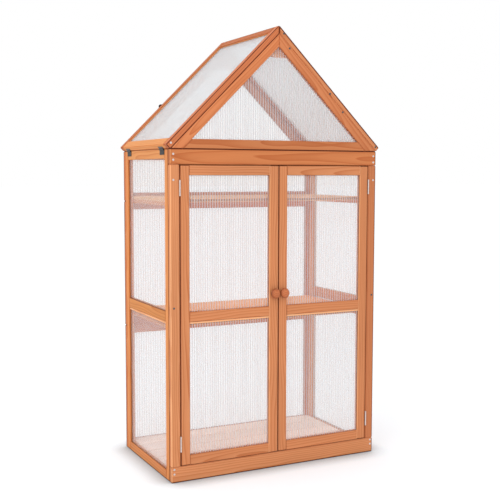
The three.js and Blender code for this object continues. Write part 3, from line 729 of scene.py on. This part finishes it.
def add_front_frame():
    place = basis((-HALF_WIDTH, -HALF_DEPTH, 0), RIGHT, UP)
    width = 2 * HALF_WIDTH
    # Pale arrises at the left corner paint a highlight; dark arrises mark joints and outlines, and the
    # base's low line paints the shade at the foot
    plank("header_board", "cabinet", lying(place, 0, HEADER_BOTTOM), width, WALL_HEIGHT - HEADER_BOTTOM,
          ("front_header_rail",), dark="he", dark_back="s", pale="s", lines="e", stain=DEEP)
    plank("base_board", "cabinet", lying(place, 0, 0), width, base_high.z, ("front_bottom_rail",),
          dark="le", dark_back="s", pale="s", lines="el", stain=LIGHT)
    height = post_high.z - post_low.z
    plank("left_post_board", "cabinet", standing(place, POST_WIDTH, post_low.z), height, POST_WIDTH,
          ("left_front_post",), dark_back="h", pale="h", stain=LIGHT)
    plank("right_post_board", "cabinet", standing(place, width, post_low.z), height, POST_WIDTH,
          ("right_front_post",), dark="l", lines="l", stain=DUSKY)
    # The batten behind the header stops the doors
    stop_low = header_low.z
    behind = BOARD + JOINT_GAP
    plank("door_stop_batten", "cabinet", moved(place, behind, stop_low, -behind), width - 2 * behind,
          HEADER_BOTTOM + STOP_BEHIND_HEADER - stop_low, ("front_header_rail",),
          thickness=header_high.y - header_low.y - behind, stain=DEEP)


def add_side_wall(side, corner, right):
    place = basis(corner, right, UP)
    frame_node = f"{side}_side_frame"
    low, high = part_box(f"{side}_side_frame")
    width = high.y - low.y
    sheets = [f"{side}_side_lower_sheet", f"{side}_side_upper_sheet"]
    front_stile, rear_stile, outer = ("right", "left", "l") if side == "left" else ("left", "right", "h")
    # The foot lines paint shade at the foot; the dark arrises mark joints and outlines
    edges = {
        front_stile: {"dark": outer + "se", "lines": "s"},
        rear_stile: {"dark": "se", "lines": "s"},
        "bottom": {"dark": "l", "lines": "l", "stain": STRAW},
        "middle": {"dark": "hl", "stain": MUSTARD},
        "top": {"dark": "h", "stain": HONEY},
    }
    # The right wall's stiles take painted light
    if side == "right":
        edges["left"]["stain"] = PAINTED_HAZE_LIGHT
        edges["right"]["stain"] = PAINTED_HAZE_LIGHT
    # GOLDEN paints warm light on the side walls
    panel(f"{side}_side", "cabinet", place, width, SIDE_STILE, SIDE_RAILS, frame_node, sheets, edges, GOLDEN)
    for name in ("middle", "upper"):
        shelf_low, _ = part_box(f"{name}_shelf")
        cleat_place = moved(place, CLEAT_END, shelf_low.z - JOINT_GAP - CLEAT, -BOARD)
        plank(f"{side}_{name}_cleat", "cabinet", cleat_place, width - 2 * CLEAT_END, CLEAT,
              (frame_node,), thickness=CLEAT, stain=GOLDEN)


def add_back_wall():
    low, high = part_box("back_lower_frame")
    width = high.x - low.x
    place = basis((high.x, HALF_DEPTH, 0), LEFT, UP)
    # The back wall's side lines paint shade on its side edges
    edges = {
        "left": {"dark": "hse", "side_lines": "h", "line_depth": BACK_SIDE_LINE},
        "right": {"dark": "lse", "side_lines": "l", "line_depth": BACK_SIDE_LINE},
        "bottom": {"dark": "l"},
        "top": {"dark": "h"},
    }
    for name in ("lower", "middle", "upper"):
        low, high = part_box(f"back_{name}_frame")
        rails = [(low.z, low.z + BACK_MEMBER), (high.z - BACK_MEMBER, high.z)]
        # ROSY paints shade on the back wall's frames
        panel(f"back_{name}", "cabinet", place, width, BACK_MEMBER, rails, f"back_{name}_frame",
              [f"back_{name}_sheet"], edges, ROSY, beads=False)


def rake_x(y, inset):
    """X of the rake's line at a height, inset square to the rake's outer edge."""
    return y / math.tan(PITCH) + inset / math.sin(PITCH)


def rake_y(x, inset):
    """The height of the same line at an X."""
    return x * math.tan(PITCH) - inset / math.cos(PITCH)


def cut_plank(name, matrix, start, end, start_cut, end_cut, grooves, dark, node, stain):
    """A rake's board, from start to end along the rake, with slanted ends."""
    plank(name, "cabinet", moved(matrix, start, 0, 0), end - start, RAKE_WIDTH, (node,), grooves=grooves,
          dark=dark, start_cut=start_cut, end_cut=end_cut, stain=stain)


def add_gable(prefix, place, rake_nodes, rail_node, sheet_node):
    """Two rakes with upright mitres at the apex and level feet, a rail between them, a sheet, and a
    gusset behind the mitre."""
    middle = HALF_WIDTH
    slope = math.tan(PITCH)
    foot = Vector((rake_x(JOINT_GAP, 0), JOINT_GAP))
    length = (middle - JOINT_GAP / 2 - foot.x) / math.cos(PITCH)
    # The left rake's Y = 0 is on its inner edge, which starts later and ends sooner than the outer one
    left = moved(place, foot.x, foot.y, 0) @ Matrix.Rotation(PITCH, 4, "Z")
    left = moved(left, 0, -RAKE_WIDTH, 0)
    cut_plank(f"{prefix}_left_rake_board", left, RAKE_WIDTH / slope, length - RAKE_WIDTH * slope,
              (-1 / slope, 0), (slope, 0), "l", "hs", rake_nodes[0], LEFT_RAKE)
    right = moved(place, 2 * middle - foot.x, foot.y, 0) @ Matrix.Rotation(math.pi - PITCH, 4, "Z")
    cut_plank(f"{prefix}_right_rake_board", right, 0, length,
              (1 / slope, 0), (-slope, 0), "h", "s", rake_nodes[1], RIGHT_RAKE)
    rail_left = rake_x(JOINT_GAP, RAKE_WIDTH + JOINT_GAP)
    height = GABLE_RAIL - JOINT_GAP
    plank(f"{prefix}_rail_board", "cabinet", lying(place, rail_left, JOINT_GAP), 2 * (middle - rail_left),
          height, (rail_node,), grooves="h", dark="l", start_cut=(1 / slope, 0), end_cut=(-1 / slope, 0),
          tenon=(0, height - GROOVE_DEPTH), stain=GABLE_FOOT)
    bottom = GABLE_RAIL - SHEET_BITE
    sheet_inset = RAKE_WIDTH - SHEET_BITE
    left_x = rake_x(bottom, sheet_inset)

    def top_of(x):
        """Y of the sheet's top, which leaves a little height at the corners."""
        return max(rake_y(min(x, 2 * middle - x), sheet_inset), bottom + JOINT_GAP)

    twin_wall(f"{prefix}_sheet_twin_wall", "cabinet", place, left_x, 2 * middle - left_x,
              lambda x: bottom, top_of, (sheet_node,), breaks=(middle,))
    add_gusset(prefix, place, rake_nodes[1])


def add_gusset(prefix, place, node):
    """The three-cornered plate behind the mitre, with a level lower edge."""
    base = rake_y(HALF_WIDTH, RAKE_WIDTH) - GUSSET_BELOW_CORNER
    left = rake_x(base, GUSSET_INSET)
    corners = ((left, base), (2 * HALF_WIDTH - left, base), (HALF_WIDTH, rake_y(HALF_WIDTH, GUSSET_INSET)))
    bm = bmesh.new()
    front, back = [[bm.verts.new((x, y, z)) for x, y in corners]
                   for z in (-BOARD - JOINT_GAP, -BOARD - GUSSET_THICKNESS)]
    bm.faces.new(front)
    bm.faces.new(list(reversed(back)))
    for index in range(len(corners)):
        following = (index + 1) % len(corners)
        bm.faces.new((front[index], back[index], back[following], front[following]))
    bmesh.ops.bevel(bm, geom=bm.edges[:], offset=ARRIS / 2, segments=2, affect="EDGES")
    mesh = mesh_of(bm, f"{prefix}_gusset", [frame_wood])
    set_board_values(mesh, BLEACHED)
    new_object(f"{prefix}_gusset", mesh, place, "cabinet", "frame_wood", (node,))


def add_roof_slope(prefix, body, side, frame_node, sheet_node):
    """side is -1 for the left slope and 1 for the right one. Y runs up the slope."""
    lift = BOARD + JOINT_GAP
    y = HALF_DEPTH if side < 0 else -HALF_DEPTH
    corner = (side * (HALF_WIDTH + lift * math.sin(PITCH)), y, WALL_HEIGHT + lift * math.cos(PITCH))
    up_slope = Vector((-side * math.cos(PITCH), 0, math.sin(PITCH)))
    place = basis(corner, FRONT if side < 0 else BACK, up_slope)
    width = 2 * HALF_DEPTH
    ridge_slant = BOARD * math.tan(PITCH)
    ridge_trim = (RIDGE_CLEARANCE + JOINT_GAP * math.sin(PITCH)) / math.cos(PITCH)
    top = SLOPE_LENGTH + ridge_slant - ridge_trim
    ridge_bottom = SLOPE_LENGTH + ridge_slant - RIDGE_RAIL
    ridge_cut = (0, math.tan(PITCH))
    # The low lips of the left stile and of the ridge rail take a painted highlight; SHADED paints shade on
    # the lid's left stile and on both ridge rails, and dark lines mark the outlines
    plank(f"{prefix}_left_stile", body, standing(place, ROOF_STILE, 0), top, ROOF_STILE, (frame_node,),
          grooves="l", dark="he", dark_back="s", lines="h", side_lines="h" if side > 0 else "",
          low_lip=HIGHLIGHT, end_cut=ridge_cut, stain=SHADED if side < 0 else PLAIN)
    plank(f"{prefix}_right_stile", body, standing(place, width, 0), top, ROOF_STILE, (frame_node,),
          grooves="h", dark="le", dark_back="s", end_cut=ridge_cut, stain=RUDDY)
    length = width - 2 * ROOF_STILE - 2 * JOINT_GAP
    rail_left = ROOF_STILE + JOINT_GAP
    plank(f"{prefix}_eave_rail", body, lying(place, rail_left, 0), length, EAVE_RAIL, (frame_node,),
          grooves="h", dark_back="l", tenon=(0, EAVE_RAIL - GROOVE_DEPTH), stain=HONEY)
    plank(f"{prefix}_ridge_rail", body, lying(place, rail_left, ridge_bottom), length, top - ridge_bottom,
          (frame_node,), grooves="l", dark="h", lines="h", low_lip=HIGHLIGHT, slant=ridge_slant, stain=SHADED)
    # The roof sheet's extra haze paints a pale reflection
    pane(f"{prefix}_sheet_twin_wall", body, place, ROOF_STILE, width - ROOF_STILE, EAVE_RAIL, ridge_bottom,
         (sheet_node,), roof_skin_with_painted_reflection)


def add_door(side, hinge_is_left):
    stile_low, stile_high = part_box(f"{side}_door_hinge_stile")
    meeting_low, meeting_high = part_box(f"{side}_door_meeting_stile")
    middle_low, middle_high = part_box(f"{side}_door_middle_rail")
    left = min(stile_low.x, meeting_low.x)
    width = max(stile_high.x, meeting_high.x) - left
    bottom, top = stile_low.z, stile_high.z
    place = basis((left, -HALF_DEPTH, bottom), RIGHT, UP)
    rails = [(0, DOOR_MEMBER), (middle_low.z - bottom, middle_high.z - bottom),
             (top - bottom - DOOR_MEMBER, top - bottom)]
    stiles = [f"{side}_door_hinge_stile", f"{side}_door_meeting_stile"]
    if not hinge_is_left:
        stiles.reverse()
    members = stiles + [f"{side}_door_{name}_rail" for name in ("bottom", "middle", "top")]
    sheets = [f"{side}_door_lower_sheet", f"{side}_door_upper_sheet"]
    # Pale arrises on the right stiles paint highlights; dark ones mark joints and paint the shade in the
    # door gaps
    edges = {
        "left": {"dark": "hse"},
        "right": {"dark": "se", "pale": "lh"} if hinge_is_left else {"dark": "lse", "pale": "h"},
        "bottom": {"dark": "l"},
        "middle": {"dark": "l"},
        "top": {"dark": "hl"},
    }
    panel(f"{side}_door", f"{side}_door", place, width, DOOR_MEMBER, rails, members, sheets, edges)


def add_shelves():
    for level, stain in SHELF_STAINS.items():
        name = f"{level}_shelf"
        low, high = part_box(name)
        place = basis((low.x, low.y, high.z), RIGHT, BACK)
        # Each shelf's front edge takes the lips' painted shade
        plank(f"{name}_board", "cabinet", place, high.x - low.x, high.y - low.y, (name,),
              thickness=high.z - low.z, front_edge=True, wood=inner_wood, stain=stain)


def add_floor():
    low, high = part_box("slatted_floor")
    width = (high.y - low.y - (SLATS - 1) * SLAT_GAP) / SLATS
    for index in range(SLATS):
        place = basis((low.x, low.y + index * (width + SLAT_GAP), high.z), RIGHT, BACK)
        plank(f"floor_slat_{index + 1}", "cabinet", place, high.x - low.x, width, ("slatted_floor",),
              thickness=SLAT_THICKNESS, wood=floor_wood)
    for index, x in enumerate((low.x, -BEARER / 2, high.x - BEARER)):
        place = basis((x + BEARER, low.y, high.z - SLAT_THICKNESS), BACK, LEFT)
        plank(f"floor_bearer_{index + 1}", "cabinet", place, high.y - low.y, BEARER, ("slatted_floor",),
              thickness=high.z - SLAT_THICKNESS - low.z, wood=floor_wood)


def lathe(bm, profile, segments):
    """A turned body round Z from (radius, height) points that start and end on the axis."""
    rings = []
    for radius, height in profile:
        if radius < NEARLY:
            rings.append([bm.verts.new((0, 0, height))])
            continue
        turns = [2 * math.pi * step / segments for step in range(segments)]
        rings.append([bm.verts.new((radius * math.cos(t), radius * math.sin(t), height)) for t in turns])
    for lower, upper in zip(rings, rings[1:]):
        for step in range(segments):
            following = (step + 1) % segments
            corners = [lower[step % len(lower)], lower[following % len(lower)],
                       upper[following % len(upper)], upper[step % len(upper)]]
            unique = list(dict.fromkeys(corners))
            if len(unique) > 2:
                bm.faces.new(unique)


def add_knob(side):
    """Turned knob: flared foot, waist and a domed head."""
    low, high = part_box(f"{side}_door_knob")
    centre_x, centre_z = (low.x + high.x) / 2, (low.z + high.z) / 2
    radius, height = (high.x - low.x) / 2, high.y - low.y
    neck = KNOB_FOOT - KNOB_FOOT_ROUND
    profile = [(0, 0), (KNOB_FOOT, 0), (KNOB_FOOT, KNOB_FOOT_EDGE), (neck, KNOB_FOOT_TOP)]
    # The foot's curve to the waist, the curve under the head, and the dome
    for step in range(1, KNOB_STEPS + 1):
        share = step / KNOB_STEPS
        profile.append((KNOB_WAIST + (neck - KNOB_WAIST) * (1 - share) ** 2,
                        KNOB_FOOT_TOP + (KNOB_NECK_TOP - KNOB_FOOT_TOP) * share))
    for step in range(1, KNOB_STEPS + 1):
        turn = step / KNOB_STEPS * math.pi / 2
        profile.append((KNOB_WAIST + (radius - KNOB_WAIST) * math.sin(turn),
                        KNOB_NECK_TOP + (KNOB_RIM - KNOB_NECK_TOP) * (1 - math.cos(turn))))
    for step in range(1, KNOB_DOME_STEPS):
        turn = step / KNOB_DOME_STEPS * math.pi / 2
        profile.append((radius * math.cos(turn), KNOB_RIM + (height - KNOB_RIM) * math.sin(turn)))
    profile.append((0, height))
    bm = bmesh.new()
    lathe(bm, profile, KNOB_SEGMENTS)
    mesh = mesh_of(bm, f"{side}_knob_turned", [knob_wood], smooth_angle=KNOB_SMOOTH)
    set_board_values(mesh, PLAIN)
    # Painted shade: the wood is darker towards the neck, under the head
    stains = []
    for vertex in mesh.vertices:
        share = min(max((vertex.co.z - KNOB_RIM + KNOB_FADE) / (height - KNOB_RIM), 0), 1)
        stains += [low_share + by * share for low_share, by in zip(KNOB_NECK_SHADE, KNOB_GAIN)]
    mesh.attributes["board_stain"].data.foreach_set("vector", stains)
    matrix = basis((centre_x, high.y, centre_z), RIGHT, UP)
    new_object(f"{side}_knob_turned", mesh, matrix, f"{side}_door", "knob_wood", (f"{side}_door_knob",))


def dress_metal():
    """Steel parts keep the frame's solids and take a finish."""
    for name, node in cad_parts.items():
        if "hinge_leaf" in name or name in ("lid_catch_stud", "lid_hook", "hook_pivot_screw"):
            black = "roof" in name or name.startswith(("lid", "hook"))
            # The lid's hinge leaves take grey steel: a painted reflection on black leaves
            grey = name.startswith("lid") and "hinge" in name
            node.data.materials.clear()
            node.data.materials.append(steel_painted_shade_and_reflection if grey else black_steel if black else bright_steel)


def add_screw(name, body, place, steel):
    """A low head with a socket on the front face. place is X from the left end and Z from the ground."""
    radius, edge = SCREW_RADIUS, SCREW_EDGE * SCREW_RISE
    profile = [(0, SCREW_LIFT), (radius, SCREW_LIFT), (radius, edge), (SCREW_CROWN * radius, SCREW_RISE),
               (SOCKET_MOUTH * radius, SCREW_RISE), (SOCKET_FOOT * radius, edge), (0, edge)]
    bm = bmesh.new()
    lathe(bm, profile, SCREW_SEGMENTS)
    mesh = mesh_of(bm, name, [steel], smooth_angle=SCREW_SMOOTH)
    slot = "bright_steel" if steel == bright_steel else "black_steel"
    x, z = place
    new_object(name, mesh, basis((x - HALF_WIDTH, -HALF_DEPTH, z), RIGHT, UP), body, slot)


def add_screws():
    for index, place in enumerate(FRONT_SCREWS):
        # The post screws and the roof screws take grey steel: painted shade
        steel = steel_painted_shade_and_reflection if place[1] == POST_SCREW_HEIGHT else bright_steel
        add_screw(f"front_screw_{index + 1}", "cabinet", place, steel)
    add_screw("lid_edge_screw", "roof_lid", LID_SCREW, bright_steel)
    for index, place in enumerate(ROOF_SCREWS):
        add_screw(f"roof_screw_{index + 1}", "cabinet", place, steel_painted_shade_and_reflection)


def add_stage():
    """A pale floor that shows white to the camera and keeps the shadow, and a white world."""
    bm = bmesh.new()
    size = FLOOR_HALF_SIZE
    corners = ((-size, -size), (size, -size), (size, size), (-size, size))
    bm.faces.new([bm.verts.new((x, y, 0)) for x, y in corners])
    material, nodes, links = new_material("studio_floor")
    shader = nodes["Principled BSDF"]
    shader.inputs["Roughness"].default_value = 1
    shader.inputs["Specular IOR Level"].default_value = 0
    rays = nodes.new("ShaderNodeLightPath").outputs
    seen = math_node(nodes, links, "MAXIMUM", rays["Is Camera Ray"], rays["Is Glossy Ray"])
    seen = math_node(nodes, links, "MAXIMUM", seen, rays["Is Transmission Ray"])
    paint = nodes.new("ShaderNodeMix")
    paint.data_type = "RGBA"
    paint.inputs["A"].default_value = FLOOR_COLOUR
    paint.inputs["B"].default_value = FLOOR_SEEN
    links.new(seen, paint.inputs["Factor"])
    # Painted contact shadow: ambient occlusion darkens the floor close to the base
    painted_contact_shadow = nodes.new("ShaderNodeAmbientOcclusion")
    painted_contact_shadow.samples = 12
    painted_contact_shadow.inputs["Distance"].default_value = CONTACT_DISTANCE
    links.new(paint.outputs["Result"], painted_contact_shadow.inputs["Color"])
    links.new(painted_contact_shadow.outputs["Color"], shader.inputs["Base Color"])
    glow = math_node(nodes, links, "MULTIPLY", seen, FLOOR_GLOW)
    glow = math_node(nodes, links, "MULTIPLY", glow, painted_contact_shadow.outputs["AO"])
    shader.inputs["Emission Color"].default_value = FLOOR_GLOW_COLOUR
    links.new(glow, shader.inputs["Emission Strength"])
    mesh = mesh_of(bm, "studio_floor", [material])
    floor = bpy.data.objects.new("studio_floor", mesh)
    floor.location.z = FLOOR_BELOW
    bpy.context.scene.collection.objects.link(floor)

    world = bpy.data.worlds.new("studio_world")
    bpy.context.scene.world = world
    world.use_nodes = True
    background = world.node_tree.nodes["Background"]
    background.inputs["Color"].default_value = (1, 1, 1, 1)
    background.inputs["Strength"].default_value = 1.0


def add_lamp(name, location, size, power, colour):
    data = bpy.data.lights.new(name, "AREA")
    data.shape = "DISK"
    data.size = size
    data.energy = power
    data.color = colour
    lamp = bpy.data.objects.new(name, data)
    lamp.location = location
    lamp.rotation_mode = "QUATERNION"
    lamp.rotation_quaternion = (Vector(LAMP_TARGET) - Vector(location)).to_track_quat("-Z", "Y")
    bpy.context.scene.collection.objects.link(lamp)


def add_camera():
    azimuth, elevation = math.radians(CAMERA_AZIMUTH), math.radians(CAMERA_ELEVATION)
    back = Vector((
        math.sin(azimuth) * math.cos(elevation),
        -math.cos(azimuth) * math.cos(elevation),
        math.sin(elevation),
    ))
    data = bpy.data.cameras.new("camera")
    data.lens = CAMERA_LENS
    data.sensor_width = CAMERA_SENSOR
    data.clip_start = 0.05
    data.clip_end = 100
    camera = bpy.data.objects.new("camera", data)
    camera.location = CAMERA_PLACE
    camera.rotation_mode = "QUATERNION"
    facing = (-back).to_track_quat("-Z", "Y")
    camera.rotation_quaternion = facing @ Matrix.Rotation(math.radians(CAMERA_ROLL), 3, "Z").to_quaternion()
    bpy.context.scene.collection.objects.link(camera)
    bpy.context.scene.camera = camera


add_front_frame()
side_low, side_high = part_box("left_side_frame")
add_side_wall("left", (-HALF_WIDTH, side_high.y, 0), FRONT)
add_side_wall("right", (HALF_WIDTH, side_low.y, 0), BACK)
add_back_wall()
front_gable = basis((-HALF_WIDTH, -HALF_DEPTH, WALL_HEIGHT), RIGHT, UP)
add_gable("front_gable", front_gable, ("front_gable_left_rake", "front_gable_right_rake"),
          "front_gable_bottom_rail", "front_gable_sheet")
rear_gable = basis((HALF_WIDTH, HALF_DEPTH, WALL_HEIGHT), LEFT, UP)
add_gable("rear_gable", rear_gable, ("rear_gable_frame", "rear_gable_frame"), "rear_gable_frame",
          "rear_gable_sheet")
add_roof_slope("roof_lid", "roof_lid", -1, "roof_lid_frame", "roof_lid_sheet")
add_roof_slope("fixed_roof", "cabinet", 1, "fixed_roof_frame", "fixed_roof_sheet")
add_door("left", True)
add_door("right", False)
add_shelves()
add_floor()
add_knob("left")
add_knob("right")
dress_metal()
add_screws()
add_stage()
add_camera()
add_lamp("key_lamp", (-2.6, -2.6, 3.0), size=2.2, power=34, colour=(1, 1, 1))
add_lamp("side_lamp", (-3.2, 0.4, 1.6), size=1.6, power=10, colour=(1, 0.96, 0.9))

scene = bpy.context.scene
scene.view_settings.view_transform = "Standard"
scene.cycles.transparent_max_bounces = 48
scene.cycles.max_bounces = 20
scene.cycles.diffuse_bounces = 12

bpy.context.view_layer.update()
